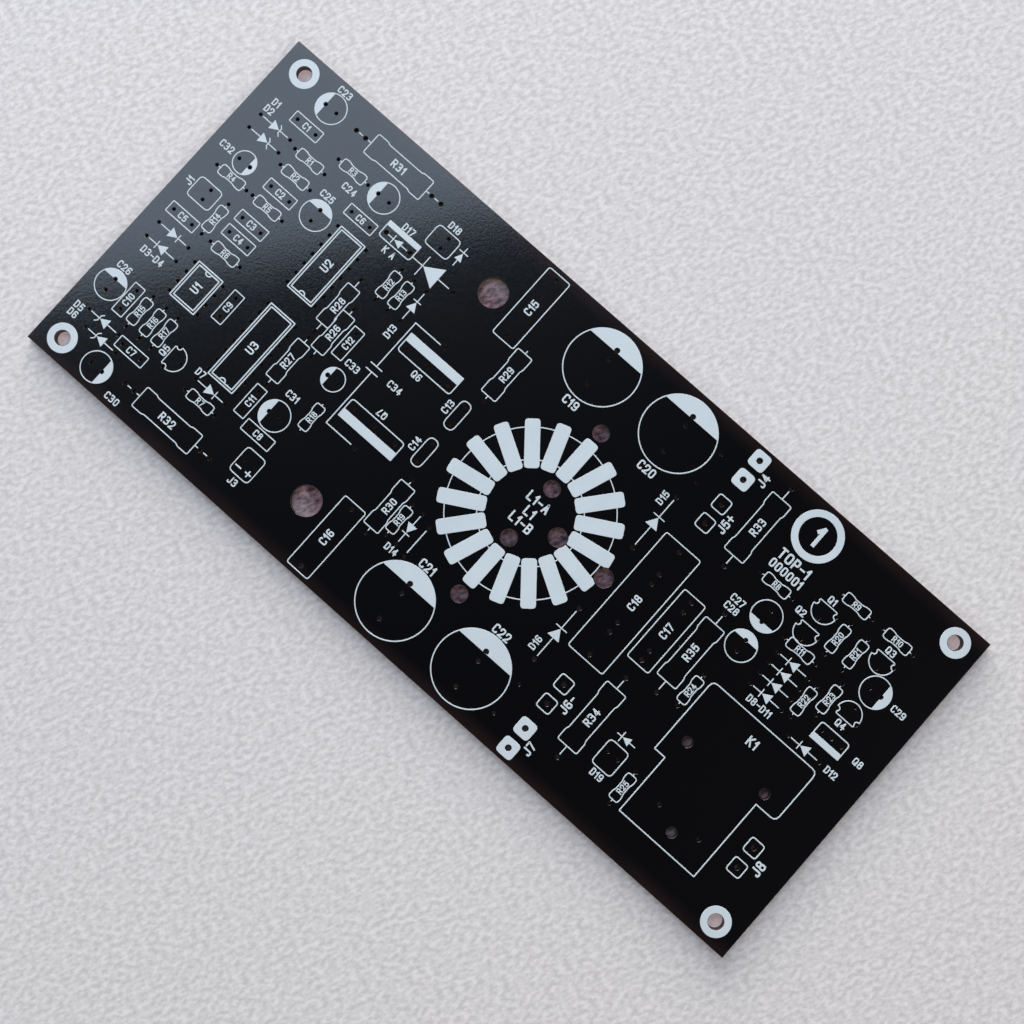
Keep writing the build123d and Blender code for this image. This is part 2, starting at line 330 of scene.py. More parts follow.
def tinned_copper():
    """Solder that froze on copper: a bright metal with soft hollows and a few duller patches."""
    material, tree, place = start_material("tinned_copper")
    pool = add(tree, "ShaderNodeTexNoise", {
        "Vector": place, "Scale": per_metre(solder_pool_size), "Detail": 2.0,
    })
    gloss = add(tree, "ShaderNodeMapRange", {"Value": pool.outputs["Fac"], "To Min": 0.14, "To Max": 0.5})
    tone = add(tree, "ShaderNodeMix", {
        "Factor": pool.outputs["Fac"], "A": colour("#D9D8D2"), "B": colour("#A9A8A4"),
    }, data_type="RGBA")
    relief = add(tree, "ShaderNodeBump", {
        "Height": pool.outputs["Fac"], "Strength": 0.5, "Distance": solder_pool_size * MILLIMETRE / 12,
    })
    shader = add(tree, "ShaderNodeBsdfPrincipled", {
        "Base Color": tone.outputs["Result"], "Roughness": gloss.outputs[0], "Normal": relief.outputs[0],
    })
    shader.inputs["Metallic"].default_value = 1.0
    return finish_material(material, shader)


solder_pool_size = 0.8
solder_finish = tinned_copper()

# %% [markdown]
# ## Loops
# Every mark on the board starts as a loop of points. Curve objects could draw it, but plain arrays are turned,
# moved and joined in one step. A circle is a cosine and a sine. A loop with straight sides gets its corners
# rounded by a short parabola, which needs no angle and no centre.

# %% Loops
CORNERS = np.array([(-1, -1), (1, -1), (1, 1), (-1, 1)])


def circle(x, y, radius, steps):
    """Points at equal angles: the middle plus the radius times the cosine and sine of the angle."""
    angles = np.arange(steps) * 2 * math.pi / steps
    return np.stack([x + radius * np.cos(angles), y + radius * np.sin(angles)], axis=1)


def arc(radius, start, stop, steps):
    """Points on a circle round the origin, at equal angles from the first to the last."""
    angles = np.linspace(start, stop, steps)
    return radius * np.stack([np.cos(angles), np.sin(angles)], axis=1)


def rounded(points, radius, closed=True, steps=4, most=0.48):
    """Replace each corner P by the parabola (1-s)^2 A + 2s(1-s) P + s^2 B.

    A and B lie on the two sides of the corner, a radius away from it or just under half a side where that is
    less. The ends of an open line stay as they are.
    """
    points = np.asarray(points, float)
    before, after = np.roll(points, 1, axis=0) - points, np.roll(points, -1, axis=0) - points
    reach = [
        np.minimum(radius / np.linalg.norm(side, axis=1), most)[:, None, None] for side in (before, after)
    ]
    s = np.linspace(0, 1, steps)[None, :, None]
    leave = points[:, None] + before[:, None] * reach[0]
    enter = points[:, None] + after[:, None] * reach[1]
    bends = (1 - s) ** 2 * leave + 2 * s * (1 - s) * points[:, None] + s ** 2 * enter
    if closed:
        return bends.reshape(-1, 2)
    return np.concatenate([points[:1], bends[1:-1].reshape(-1, 2), points[-1:]])


def box(width, height, radius):
    """A rectangle round the origin with rounded corners."""
    return rounded(CORNERS * np.array([width, height]) / 2, radius)


def placed(points, x, y, turn=0):
    """Turn points about the origin by an angle in degrees, then move the origin to a place."""
    c, s = math.cos(math.radians(turn)), math.sin(math.radians(turn))
    return np.asarray(points) @ np.array([[c, s], [-s, c]]) + (x, y)


print("corner of a rounded box:", np.round(box(4, 2, 0.5)[:4], 2).tolist())

# %% [markdown]
# ## Flat fills
# A fill covers the inside of a loop with triangles and stays open over the drilled holes, which may cut its
# rim. A Boolean modifier could cut the holes one after another. A triangulation that keeps given edges does
# all of them at once, so the loop and the circles of the holes are handed to it together.

# %% Fills
few_sides, many_sides = 16, 48
wide_hole = 0.8
INSIDE_TRIANGLES, MERGE_DISTANCE = 1, 1e-6


def hole_steps(radius):
    """Sides of a drilled circle: few on the hundreds of lead holes, more on the wide ones."""
    return few_sides if radius < wide_hole else many_sides


def fill(outline, clearance):
    """Triangles inside a loop, open over every drilled hole that reaches it.

    The loop and the circles of the holes are edges that the triangulation has to keep. A triangle whose middle
    lies in a hole, widened by the clearance, is left out.
    """
    low, high, reach = outline.min(axis=0), outline.max(axis=0), hole_radii[:, None]
    near = np.all((hole_middles > low - reach) & (hole_middles < high + reach), axis=1)
    holes = [
        circle(x, y, radius + clearance, hole_steps(radius))
        for (x, y), radius in zip(hole_middles[near], hole_radii[near])
    ]
    loops = [outline, *holes]
    ends = np.cumsum([len(loop) for loop in loops])
    follow = np.arange(1, ends[-1] + 1)
    follow[ends - 1] = ends - [len(loop) for loop in loops]
    edges = np.stack([np.arange(ends[-1]), follow], axis=1)
    corners = [Vector(point) for point in np.concatenate(loops).tolist()]
    found = delaunay_2d_cdt(corners, edges.tolist(), [], INSIDE_TRIANGLES, MERGE_DISTANCE)
    points, triangles = np.array([tuple(p) for p in found[0]]), np.array(found[2])
    centres = points[triangles].mean(axis=1)
    gaps = np.linalg.norm(centres[:, None] - hole_middles[None, near], axis=2) - hole_radii[None, near]
    return points, triangles[(gaps > clearance).all(axis=1)]


print("triangles in a small box at the middle:", len(fill(box(4, 2, 0.5), 0)[1]))

# %% [markdown]
# ## The drilled sheet
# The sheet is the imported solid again, with truly round holes, a worn edge and its cut faces in another
# finish. The top and the underside are fills. Each hole is a profile carried round a circle, and the rim is a
# profile carried round the outline: the mask stops a hair before the cut, so a thin brown line shows there.

# %% Walls and rims


def ring_faces(count, steps, rows, closed=False):
    """Quads of many rings at once, each a grid of steps round the ring by rows along its profile."""
    index = np.arange(count * steps * rows).reshape(count, steps, rows)
    ahead = np.roll(index, -1, axis=1)
    quads = np.stack([index, ahead, np.roll(ahead, -1, axis=2), np.roll(index, -1, axis=2)], axis=-1)
    return (quads if closed else quads[:, :, :-1]).reshape(-1, 4)


def rings(middles, profiles, steps):
    """Profiles of (radius, height) carried round circles: x and y from the radius, z from the height."""
    angles = np.arange(steps) * 2 * math.pi / steps
    around = np.stack([np.cos(angles), np.sin(angles)], axis=1)
    flat = middles[:, None, None] + profiles[:, None, :, :1] * around[None, :, None]
    tall = np.broadcast_to(profiles[:, None, :, 1:], (*flat.shape[:3], 1))
    return np.concatenate([flat, tall], axis=-1).reshape(-1, 3)


def hole_walls(steps, lip, bottom):
    """Walls of the holes with that many sides: a lip at the top, a straight bore, a lip at the underside."""
    chosen = np.array([hole_steps(radius) == steps for radius in hole_radii])
    radii = hole_radii[chosen]
    heights = np.broadcast_to([board_top, board_top - lip, bottom + lip, bottom], (len(radii), 4))
    widths = radii[:, None] + np.array([lip, 0, 0, lip])
    profiles = np.stack([widths, heights], axis=-1)
    return rings(hole_middles[chosen], profiles, steps), [ring_faces(len(radii), steps, 4)]


def rim_wall(bottom, inset):
    """Rim of the sheet: the outline drawn in by each step of a profile, one loop per step."""
    drawn_in = np.array([inset, inset / 3, 0, 0, inset])
    heights = np.array([board_top, board_top - inset / 3, board_top - inset, bottom + inset, bottom])
    flat = CORNERS * (np.array([board_length, board_width]) / 2 - drawn_in[:, None, None])
    points = np.concatenate([flat, np.broadcast_to(heights[:, None, None], (len(heights), 4, 1))], axis=-1)
    index = np.arange(len(heights) * 4).reshape(-1, 4)
    ahead = np.roll(index, -1, axis=1)
    quads = np.stack([index[1:], ahead[1:], ahead[:-1], index[:-1]], axis=-1)
    return points.reshape(-1, 3), [quads.reshape(-1, 4)]


print("faces round one lead hole:", len(ring_faces(1, few_sides, 4)))

# %% [markdown]
# ### One closed skin
# The two faces, the bores and the rim are made apart, but together they are one skin. Merge by Distance would
# weld them, with a distance to choose. Here parts that meet have the very same points, so it is enough to find
# the equal rows of one array.

# %% Join the sheet


def gather(parts, weld=False):
    """Join parts of (points, arrays of faces) into one mesh, and weld the points in common where asked."""
    starts = np.cumsum([0] + [len(points) for points, _ in parts[:-1]])
    points = np.concatenate([points for points, _ in parts])
    number = np.arange(len(points))
    if weld:
        points, number = np.unique(points.astype(np.float32), axis=0, return_inverse=True)
    faces = []
    for (_, arrays), start in zip(parts, starts):
        for array in arrays:
            faces += number.ravel()[array + start].tolist()
    return points, faces


lip = 0.015
rim_inset = 0.1
underside = 0.04  # raised a little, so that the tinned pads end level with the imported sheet
outline = CORNERS * (board_length / 2 - rim_inset, board_width / 2 - rim_inset)
flat_points, flat_triangles = fill(outline, lip)
top_face = np.column_stack([flat_points, np.full(len(flat_points), board_top)]), [flat_triangles]
under_face = np.column_stack([flat_points, np.full(len(flat_points), underside)]), [flat_triangles[:, ::-1]]
bores = [hole_walls(steps, lip, underside) for steps in (few_sides, many_sides)]
rim = rim_wall(underside, rim_inset)
sheet_points, sheet_faces = gather([top_face, under_face, *bores, rim], weld=True)
print(f"{len(sheet_points)} points and {len(sheet_faces)} faces after welding")

# %% [markdown]
# ### From arrays to a piece
# A mesh could be filled one point after another, but that is slow. Here whole lists go in at once, scaled from
# millimetres to metres, and each face gets the number of its finish. The sheet rides on the board's body and
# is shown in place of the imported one.

# %% Sheet


def make_piece(name, points, faces, materials, face_materials=None):
    """Mesh object from points in millimetres and lists of faces, riding on the board."""
    mesh = bpy.data.meshes.new(name)
    mesh.from_pydata((np.asarray(points) * MILLIMETRE).tolist(), [], faces)
    for material in materials:
        mesh.materials.append(material)
    if face_materials is not None:
        mesh.polygons.foreach_set("material_index", face_materials.astype(np.int32))
    mesh.update()
    piece = bpy.data.objects.new(name, mesh)
    bpy.context.scene.collection.objects.link(piece)
    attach(piece, "root")
    print(f"{name}: {len(mesh.vertices)} points, {len(mesh.polygons)} faces")
    return piece


MASK, RIM, BORE = range(3)
sheet_finishes = np.concatenate([
    np.full(2 * len(flat_triangles), MASK),
    np.tile([MASK, BORE, MASK], sum(len(quads) for _, (quads,) in bores) // 3),
    np.full(len(rim[1][0]), RIM),
])
sheet = make_piece(
    "laminate_sheet", sheet_points, sheet_faces, [mask_finish, laminate_finish, bore_shade_finish], sheet_finishes,
)
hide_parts("board")

# %% [markdown]
# ## Slabs of ink
# A large mark is a thin slab of ink whose edge slopes a little, because wet ink sinks at its rim. A Solidify
# modifier would give it upright walls. Here the flat fill is raised to the height of the print, its upper rim
# is drawn in, and walls close the sides. The foot lies just below the lacquer's face, so no gap shows.

# %% Slabs of ink
ink_foot = board_top - 0.01
ink_slope = 0.03


def slab(points, triangles, top):
    """Raise flat triangles to a closed slab.

    An edge that no second triangle uses the other way round is on the rim. The rim gets a wall, and the upper
    points there are drawn in along the mean of the two walls' normals.
    """
    directed = np.concatenate([triangles[:, [0, 1]], triangles[:, [1, 2]], triangles[:, [2, 0]]])
    code = directed[:, 0] * len(points) + directed[:, 1]
    rim = directed[~np.isin(code, directed[:, 1] * len(points) + directed[:, 0])]
    along = points[rim[:, 1]] - points[rim[:, 0]]
    inward = np.stack([-along[:, 1], along[:, 0]], axis=1) / np.linalg.norm(along, axis=1)[:, None]
    drawn = np.zeros_like(points)
    np.add.at(drawn, rim.ravel(), np.repeat(inward, 2, axis=0))
    size = np.linalg.norm(drawn, axis=1, keepdims=True)
    upper = points + ink_slope * drawn / np.maximum(size, 1e-9)
    raised = np.concatenate([
        np.column_stack([points, np.full(len(points), ink_foot)]),
        np.column_stack([upper, np.full(len(points), top)]),
    ])
    shift = len(points)
    return raised, [triangles[:, ::-1], triangles + shift, np.column_stack([rim, rim[:, ::-1] + shift])]


print(f"ink slabs {ink_top - board_top:.3f} mm high on the mask")

# %% [markdown]
# ## Lines of ink
# A line carries one small profile, a low plateau with sloping sides, along a path. A curve with a bevel could
# do that too, but here an array gives sharp corners of even width. Lines that cross would share one plane and
# flicker, so each next line lies a hair lower than the one before, through a few levels and round again.

# %% Lines of ink
ink_step = 0.001
line_levels = 8
line_top = ink_top - line_levels * ink_step
line_tops = cycle(line_top - ink_step * np.arange(line_levels))
sharpest = 0.5


def line(path, width, closed=False):
    """Carry the ink profile along a path.

    At each point the profile lies across the mean direction of the two sides that meet there, made wider by
    one over the cosine of half their turn, so that the line keeps its width round a corner. A limit keeps a
    very sharp corner from shooting out.
    """
    path = np.asarray(path, float)
    sides = np.roll(path, -1, axis=0) - path
    if not closed:
        sides[-1] = sides[-2]
    sides /= np.linalg.norm(sides, axis=1, keepdims=True)
    normals = np.stack([-sides[:, 1], sides[:, 0]], axis=1)
    earlier = np.roll(normals, 1, axis=0)
    if not closed:
        earlier[0] = normals[0]
    across = normals + earlier
    across *= 2 / np.maximum((across ** 2).sum(axis=1, keepdims=True), sharpest)
    half, top = width / 2, next(line_tops)
    offsets = np.array([half, half - ink_slope, ink_slope - half, -half])
    heights = np.array([ink_foot, top, top, ink_foot])
    flat = path[:, None] + across[:, None] * offsets[None, :, None]
    points = np.concatenate([flat, np.broadcast_to(heights[None, :, None], (len(path), 4, 1))], axis=-1)
    index = np.arange(len(path) * 4).reshape(-1, 4)
    ahead = np.roll(index, -1, axis=0)
    if not closed:
        index, ahead = index[:-1], ahead[:-1]
    side = [np.roll(grid, -1, axis=1) for grid in (index, ahead)]
    faces = [np.stack([index, side[0], side[1], ahead], axis=-1).reshape(-1, 4)]
    if not closed:
        last = len(path) * 4
        faces.append(np.array([(3, 2, 1, 0), (last - 4, last - 3, last - 2, last - 1)]))
    return points.reshape(-1, 3), faces


print(f"ink lines {line_top - board_top:.3f} mm high on the mask")

# %% [markdown]
# ## Places on the board
# A part that is soldered in needs its outline printed round its leads. The places are shares of the board's
# length and width, counted from the middle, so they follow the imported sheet. Each kind of part has one list.

# %% Places


def on_board(shares):
    """Points in millimetres from shares of the board's length and width."""
    return np.array(shares).reshape(-1, 2) * (board_length, board_width)


flat_resistor_shares = [
    (-0.400, 0.289), (-0.400, 0.235), (-0.3565, 0.341), (-0.452, 0.130), (-0.400, 0.131), (-0.400, -0.024),
    (-0.311, -0.338), (0.2865, 0.262), (0.3655, 0.354), (0.423, 0.354), (0.351, 0.180),
]
upright_resistor_shares = [
    (-0.244, 0.188), (-0.226, 0.188), (-0.4345, 0.025), (-0.427, -0.270), (-0.408, -0.270), (-0.391, -0.270),
    (-0.2095, -0.184), (-0.0643, -0.229), (0.373, 0.263), (0.398, 0.263), (0.389, 0.0935), (0.408, 0.138),
    (0.2905, -0.069), (0.304, -0.354),
]
half_watt_shares = [(-0.254, 0.007), (-0.270, -0.119)]
spread_half_watt_shares = [(-0.270, 0.066)]
tall_half_watt_shares = [(-0.082, 0.213), (-0.082, -0.2205)]
flat_two_watt_shares = [(-0.323, 0.4255), (-0.324, -0.4255)]
upright_two_watt_shares = [(0.2305, 0.339), (0.2305, -0.277), (0.2645, 0.0)]
flat_box_shares = [
    (-0.4285, 0.349), (-0.400, 0.179), (-0.400, 0.073), (-0.400, 0.025), (-0.4625, -0.024), (-0.315, 0.264),
    (-0.404, -0.358), (-0.240, -0.304),
]
upright_box_shares = [(-0.3585, -0.118), (-0.445, -0.267), (-0.271, -0.254), (-0.234, 0.012)]
disc_shares = [(-0.0925, 0.057), (-0.0925, -0.0645)]
film_shares = [(-0.1105, 0.3785), (-0.1105, -0.379), (0.230, 0.0)]
large_film_share = (0.1845, 0.0)
canister_shares_by_turn = {
    0: [(-0.355, 0.197), (-0.471, -0.268), (0.300, 0.094)],
    90: [(-0.422, 0.424), (-0.312, 0.342), (-0.2405, -0.242)],
    180: [(0.300, 0.189)],
    270: [(-0.421, -0.443), (0.4405, 0.225)],
}
small_canister_shares_by_turn = {90: [(-0.2195, -0.0795)], 270: [(-0.4525, 0.179)]}
reservoir_shares = [(-0.0097, 0.384), (0.0996, 0.384), (-0.0097, -0.3835), (0.0996, -0.3835)]
transistor_shares_by_turn = {
    180: [(0.343, 0.3095), (0.343, 0.241), (0.4245, 0.3095)],
    0: [(0.434, 0.125)],
    270: [(-0.372, -0.301)],
}
filled_terminal_shares = [(0.185, 0.466), (0.185, 0.404), (0.185, -0.404), (0.185, -0.466)]
framed_terminal_shares = [
    (0.185, 0.323), (0.185, 0.262), (0.185, -0.262), (0.185, -0.324), (0.450, -0.253), (0.450, -0.3145),
]
coil_share = (0.0368, -0.0037)
relay_corner_share = (0.3015, -0.0135)
print("resistor places:", len(flat_resistor_shares) + len(upright_resistor_shares))

# %% [markdown]
# ## Bold marks
# The bold marks are what one sees from across the bench: the star of the output coil, the caps of the large
# capacitors, the rings of the screws and the frame of the relay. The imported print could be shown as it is.
# These marks stand for it and lie where it lies, drawn with a finer pen, true arcs and the small round corners
# that ink takes.

# %% Solid marks


def solid_mark(outline):
    """A filled loop as a slab of ink, open over the holes."""
    return slab(*fill(outline, ink_clearance), ink_top)


line_width = 0.26
ink_clearance = 0.1
bold = []
print(f"bold lines {line_width} mm wide")

# %% [markdown]
# ### Screw rings and capacitor caps
# A broad ring round each screw hole shows where the screw's head will sit. It could be a fill with a hole, but
# a wide line along a circle is the same ring with less work. A can capacitor must not be fitted the wrong way
# round, so its circle has a filled cap on the side of one lead, the part of a disc above a chord. The circles
# of the small cans come later, with the thin outlines.

# %% Screw rings and capacitor caps


def cap(diameter, chord_height, steps=40):
    """Part of a disc above a level chord: its arc from one end of the chord to the other."""
    start = math.asin(2 * chord_height / diameter)
    return arc(diameter / 2, start, math.pi - start, steps)


screw_radius, drill_tolerance = 1.6, 0.1
is_screw = np.isclose(hole_radii, screw_radius, atol=drill_tolerance)
ring_path_radius, ring_width = 2.39, 1.47
screw_rings = [circle(x, y, ring_path_radius, steps=64) for x, y in hole_middles[is_screw]]
bold += [line(ring, ring_width, True) for ring in screw_rings]

reservoir_diameter, reservoir_chord = 16.25, 4.1
reservoir_cap = cap(reservoir_diameter, reservoir_chord)
for x, y in on_board(reservoir_shares):
    bold.append(line(circle(x, y, (reservoir_diameter - line_width) / 2, steps=96), line_width, True))
    bold.append(solid_mark(reservoir_cap + (x, y)))

canister_diameter, canister_chord = 6.8, 1.4
small_canister_diameter, small_canister_chord = 5.2, 1.0
canister_caps = [
    (canister_shares_by_turn, cap(canister_diameter, canister_chord)),
    (small_canister_shares_by_turn, cap(small_canister_diameter, small_canister_chord)),
]
for shares_by_turn, canister_cap in canister_caps:
    for turn, shares in shares_by_turn.items():
        bold += [solid_mark(placed(canister_cap, x, y, turn)) for x, y in on_board(shares)]
print(f"{is_screw.sum()} screw rings, {len(bold)} parts of ink")

# %% [markdown]
# ### Packages and terminals
# A power part stands on its three pins, with its flat metal back to one side. From above that is a frame with
# a solid bar along the back. Each could be drawn by hand, but they differ only in place, turn and size, so one
# table and one function make them all. A terminal is a solid square or an open frame.

# %% Packages and terminals


def package_marks(share, turn, width, height, bar):
    """Frame round the pins of a flat-backed package, and the solid bar along its back."""
    x, y = on_board(share)[0]
    frame_path = box(width - line_width, height - line_width, frame_corner) + (0, (bar - line_width) / 2)
    back = box(width, bar, ink_corner) + (0, (height - line_width) / 2)
    return [
        line(placed(frame_path, x, y, turn), line_width, True), solid_mark(placed(back, x, y, turn)),
    ]


ink_corner, frame_corner = 0.12, 0.7

# Packages: the place as a share, the turn, the width and height of the frame, and the height of its bar
packages = [
    ((-0.152, 0.098), 0, 14.2, 4.6, 1.95), ((-0.152, -0.098), 180, 14.2, 4.6, 1.95),
    ((0.437, 0.0705), 180, 7.4, 4.1, 1.37), ((-0.2675, 0.2825), 0, 8.5, 4.0, 1.2),
]
for package in packages:
    bold += package_marks(*package)

filled_terminal = box(width=3.85, height=3.85, radius=0.9)
framed_terminal = box(width=3.2, height=3.2, radius=0.6)
bold += [solid_mark(filled_terminal + place) for place in on_board(filled_terminal_shares)]
bold += [line(framed_terminal + place, line_width, True) for place in on_board(framed_terminal_shares)]
print(f"{len(packages)} packages, {len(bold)} parts of ink")

# %% [markdown]
# ### Coil and relay
# The output coil is wire wound round a ring that lies flat, so its mark is a star of short bars, one for each
# turn. An Array modifier could repeat a bar about an empty. Turning one loop by equal angles is as short, and
# lets every bar stay open over the coil's lead holes. The relay's frame has eight corners, three of them wide.

# %% Coil and relay
coil_x, coil_y = on_board(coil_share)[0]
coil_turns, coil_inner, coil_outer, turn_width, turn_corner = 18, 9.0, 19.0, 3.15, 0.75
turn_bar = box(coil_outer - coil_inner, turn_width, turn_corner) + ((coil_inner + coil_outer) / 2, 0)
turn_angles = (np.arange(coil_turns) + 0.5) * 360 / coil_turns
bold += [solid_mark(placed(turn_bar, coil_x, coil_y, angle)) for angle in turn_angles]

relay_width, relay_depth = 27.4, 31.6
left_shoulder, left_step, right_shoulder, right_step = 17.9, 2.7, 12.9, 5.0
relay_corners = np.array([
    (0, 0), (0, -left_shoulder), (left_step, -left_shoulder), (left_step, -relay_depth),
    (relay_width - right_step, -relay_depth), (relay_width - right_step, -right_shoulder),
    (relay_width, -right_shoulder), (relay_width, 0),
])
wide, sharp = 1.3, 0.1
relay_roundings = np.array([wide, sharp, sharp, sharp, sharp, sharp, wide, wide])
relay_inset = np.array([(1, -1), (1, 1), (1, 1), (1, 1), (-1, 1), (-1, 1), (-1, 1), (-1, -1)])
relay_path = relay_corners + relay_inset * line_width / 2 + on_board(relay_corner_share)
bold.append(line(rounded(relay_path, relay_roundings), line_width, True))

legend_print = make_piece("legend_print", *gather(bold), [ink_finish])
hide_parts("legend")

# %% [markdown]
# ## Part outlines
# The thin outlines show the fitter which part goes where. A resistor is drawn with a waist, a film capacitor
# as a plain box, a disc as a box with round ends, a canister as a circle. Where a lead comes out, a short stub
# runs to its hole and stops at the rim. Copies of one object would do as well, but the print is one layer. So
# each outline is made once, about the origin, and is then inked at every place on its list.

# %% Tools for outlines


def waisted(length, height, waist, shoulder, slope, corner):
    """Half of a resistor's outline: six corners, thick, thin and thick again. Turned round, it is the rest."""
    a, e, w = length / 2, height / 2, waist / 2
    s = a - shoulder
    side = [(-a, -e), (-s, -e), (slope - s, -w), (s - slope, -w), (s, -e), (a, -e)]
    return rounded(side + [(-x, -y) for x, y in side], corner)


def stubs(start, stop):
    """Two short lines along X, from a body's ends out to its lead holes."""
    return [[(start, 0), (stop, 0)], [(-start, 0), (-stop, 0)]]


def print_kind(shares, turn, body, leads=()):
    """One body and its stubs, printed at each place of a list."""
    made = []
    for x, y in on_board(shares):
        made.append(line(placed(body, x, y, turn), thin_width, True))
        made += [line(placed(lead, x, y, turn), thin_width) for lead in leads]
    return made


thin_width = 0.24
small_body = waisted(length=6.1, height=2.28, waist=1.78, shoulder=1.5, slope=0.5, corner=0.55)
half_watt_body = waisted(length=9.75, height=3.22, waist=2.67, shoulder=2.6, slope=0.4, corner=0.35)
tall_half_watt_body = waisted(length=11.3, height=3.75, waist=3.25, shoulder=2.9, slope=0.4, corner=0.35)
two_watt_body = waisted(length=14.93, height=4.93, waist=4.38, shoulder=2.6, slope=0.45, corner=0.4)
canister_circle = circle(0, 0, (canister_diameter - thin_width) / 2, steps=56)
small_canister_circle = circle(0, 0, (small_canister_diameter - thin_width) / 2, steps=48)
print(f"a small resistor's outline has {len(small_body)} points")

# %% Outlines
# Kinds of parts: their places, their turn, the body, and the stubs from its ends to the lead holes. A box has
# a length, a height and a rounding, and a stub has the distances from the middle where it starts and stops.
kinds = [
    (flat_resistor_shares, 0, small_body, stubs(3.05, 3.5)),
    (upright_resistor_shares, 90, small_body, stubs(3.05, 3.5)),
    (half_watt_shares, 90, half_watt_body, stubs(4.87, 5.8)),
    (spread_half_watt_shares, 90, half_watt_body, stubs(4.87, 6.4)),
    (tall_half_watt_shares, 90, tall_half_watt_body, stubs(5.65, 6.4)),
    (flat_two_watt_shares, 0, two_watt_body, stubs(7.46, 8.3) + stubs(9.75, 10.75)),
    (upright_two_watt_shares, 90, two_watt_body, stubs(7.46, 9.6)),
    (flat_box_shares, 0, box(7.2, 2.6, 0.2)),
    (upright_box_shares, 90, box(7.28, 2.6, 0.2)),
    (disc_shares, 90, box(6.72, 2.5, 1.25)),
    (film_shares, 90, box(17.5, 5.5, 0.5)),
    (large_film_share, 90, box(29.8, 9.0, 0.5)),
    *((shares, turn, canister_circle) for turn, shares in canister_shares_by_turn.items()),
    *((shares, turn, small_canister_circle) for turn, shares in small_canister_shares_by_turn.items()),
]
thin = [part for kind in kinds for part in print_kind(*kind)]
outline_print = make_piece("outline_print", *gather(thin), [ink_finish])

# %% [markdown]
# ## Symbols
# Diodes are drawn as their circuit symbol, a triangle against a bar, because it has a direction and a box has
# none. Chips and transistors get outlines that show which way round they go, by a notch at the first pin or a
# flat back. A font of symbols would be less work, but these have to fit the drilled holes.

# %% Diode symbol


def diode(share, turn, half=1.15, length=2.0, reach=3.35, bar_half=0.95, bent=0.0):
    """Triangle, bar and leads of a diode that points along X before it is turned.

    The ends of a bent bar lean over by half a right angle, one forwards and the other back.
    """
    x, y = on_board(share)[0]
    tip, bar_x, bar_end = length / 2, length / 2 + bar_offset, bar_half + abs(bent)
    triangle = [(-tip, -half), (tip, 0), (-tip, half)]
    bar = [(bar_x + bent, -bar_end), (bar_x, -bar_half), (bar_x, bar_half), (bar_x - bent, bar_end)]
    strokes = [bar if bent else bar[1:3], [(-reach, 0), (-tip, 0)], [(tip, 0), (reach, 0)]]
    arrow = solid_mark(placed(rounded(triangle, symbol_corner), x, y, turn))
    return [arrow] + [line(placed(stroke, x, y, turn), symbol_width) for stroke in strokes]


symbol_width, symbol_corner, bar_offset = 0.24, 0.1, 0.2
symbols = []
print(f"symbols drawn {symbol_width} mm wide")

# %% [markdown]
# ### Where the diodes go
# A diode's bar shows the end that the painted band goes to. A few have a bar with bent ends, for the kind that
# holds a voltage steady. All have the same parts in other sizes, so one function draws them from two tables.

# %% Diodes
# Small diodes: the place as a share, the turn, and the side, 1 or -1, that a bent bar leans to, or 0
small_diodes = [
    ((-0.454, 0.297), 0, 1), ((-0.454, 0.254), 0, 1), ((-0.4565, -0.0725), 0, 0), ((-0.4565, -0.118), 180, 0),
    ((-0.4485, -0.348), 180, -1), ((-0.438, -0.386), 180, -1), ((-0.3105, -0.302), 0, 0),
    ((0.3555, 0.142), 180, 0), ((0.3555, 0.109), 180, 0), ((0.3555, 0.075), 180, 0),
    ((0.3555, 0.0405), 180, 0), ((0.422, 0.007), 180, 0), ((-0.208, 0.188), 90, 0),
    ((-0.0495, -0.229), 270, 0),
]
bent_bar_half, bend_reach = 0.55, 0.55
for share, turn, side in small_diodes:
    bent_size = {"bar_half": bent_bar_half, "bent": side * bend_reach} if side else {}
    symbols += diode(share, turn, **bent_size)

# Other diodes: the place as a share, the turn and the size
rectifier_size = {"half": 1.48, "length": 2.35, "reach": 5.9, "bar_half": 1.4}
lamp_size = {"half": 0.88, "length": 1.75, "reach": 2.3, "bar_half": 1.15}
framed_size = {"half": 0.9, "length": 1.85, "reach": 2.55, "bar_half": 1.0}
broad_size = {"half": 2.55, "length": 4.05, "reach": 4.9, "bar_half": 2.45}
other_diodes = [
    ((0.1435, 0.181), 90, rectifier_size), ((0.1435, -0.181), 90, rectifier_size),
    ((-0.206, 0.3575), 90, lamp_size), ((0.2738, -0.263), 180, lamp_size),
    ((-0.2678, 0.2813), 180, framed_size), ((-0.2184, 0.279), 180, broad_size),
]
for share, turn, size in other_diodes:
    symbols += diode(share, turn, **size)
print(len(small_diodes) + len(other_diodes), "diodes")

# %% [markdown]
# ### Chips
# A chip is seen from above, between its two rows of pins: a body with a second edge inside, and a notch. An
# Inset would make the inner box from the outer one. Two boxes of known size say the same more plainly.

# %% Chips


def chip(share, turn, height):
    """Two boxes, one in the other, and a half circle at the end where the first pin is."""
    x, y = on_board(share)[0]
    notch = arc(chip_notch, math.pi, 2 * math.pi, 9) + (0, height / 2 - chip_gap)
    inner = chip_width - 2 * chip_gap, height - 2 * chip_gap
    return [
        line(box(chip_width, height, symbol_corner) + (x, y), chip_line, True),
        line(box(*inner, symbol_corner) + (x, y), chip_line, True),
        line(placed(notch, x, y, turn), chip_line),
    ]


chip_width, chip_gap, chip_line, chip_notch = 6.4, 0.54, 0.29, 0.7

